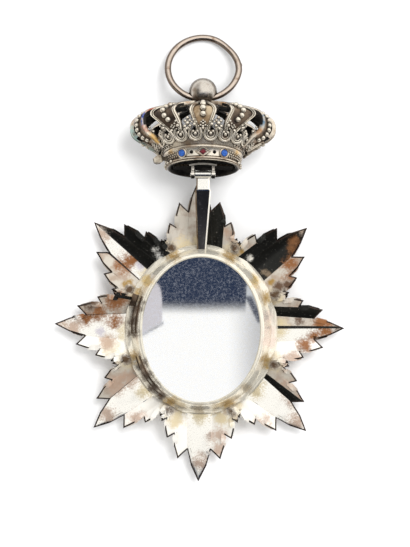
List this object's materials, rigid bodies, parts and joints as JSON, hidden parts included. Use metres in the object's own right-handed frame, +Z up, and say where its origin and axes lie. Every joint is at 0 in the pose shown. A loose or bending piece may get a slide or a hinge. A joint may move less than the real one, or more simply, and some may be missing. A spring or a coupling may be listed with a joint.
{
  "type": "order insignia",
  "caption": "Rayed silver star badge with an oval back plate, hinged to a hollow arched crown with a ball and a suspension ring, lying face down.",
  "frame": {"origin": "under the middle of the whole object, on the surface that it lies on", "axes": "+Z up from the surface, towards the back of the badge, and +Y from the star towards the ring"},
  "size_m": [0.0548, 0.085, 0.0153],
  "materials": {
    "star_silver": "struck, tarnished in places",
    "polished_silver": "polished",
    "crown_silver": "antique",
    "ball_silver": "satin",
    "ring_silver": "satin",
    "blue_enamel": "gloss",
    "red_enamel": "gloss"
  },
  "bodies": {
    "star": {"star": "star_silver", "back_plate": "polished_silver", "front_medallion": "star_silver"},
    "crown": {"crown": "crown_silver", "hinge_bridge": "crown_silver", "hinge_pin": "crown_silver", "ball": "ball_silver", "blue_enamel_left": "blue_enamel", "blue_enamel_right": "blue_enamel", "red_lozenge": "red_enamel", "side_stud": "polished_silver"},
    "ring": {"suspension_ring": "ring_silver"}
  },
  "joints": [
    {"name": "crown_hinge", "type": "hinge", "parent": "star", "child": "crown", "pos_m": [0.00069, 0.01566, 0.01034], "axis": [1, 0, 0], "range_deg": [-20, 115]},
    {"name": "ring_swing", "type": "hinge", "parent": "crown", "child": "ring", "pos_m": [0.00069, 0.03031, 0.00529], "axis": [1, 0, 0], "range_deg": [-85, 85]}
  ]
}
